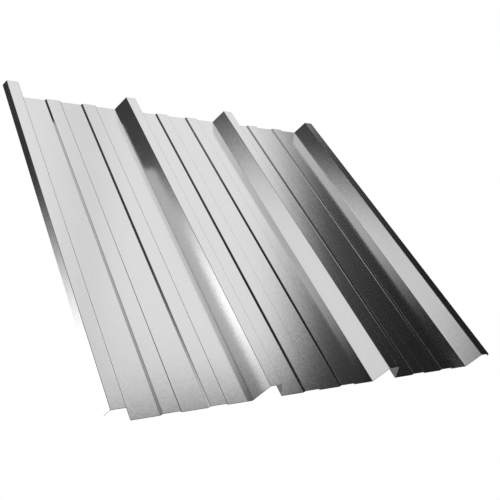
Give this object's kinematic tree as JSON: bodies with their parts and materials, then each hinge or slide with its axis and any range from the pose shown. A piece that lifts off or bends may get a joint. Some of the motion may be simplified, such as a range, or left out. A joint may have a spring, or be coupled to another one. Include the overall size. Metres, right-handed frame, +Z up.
{
  "type": "corrugated metal sheet",
  "caption": "Box-profile metal sheet for roofs and walls: trapezoidal ribs, flat pans with low swages, and turned-down edge lips of unequal depth.",
  "frame": {"origin": "middle of the sheet's outline, on the level of the undersides of the flat pans", "axes": "+X across the ribs towards the edge with the shorter lip, +Y along the ribs, +Z up, out of the side the ribs stand on"},
  "size_m": [1.041, 1, 0.0457],
  "materials": {
    "galvanised_steel": "bright zinc-coated mill finish, smooth, slightly blurred reflections"
  },
  "bodies": {
    "root": {"profiled_sheet": "galvanised_steel"}
  },
  "joints": []
}
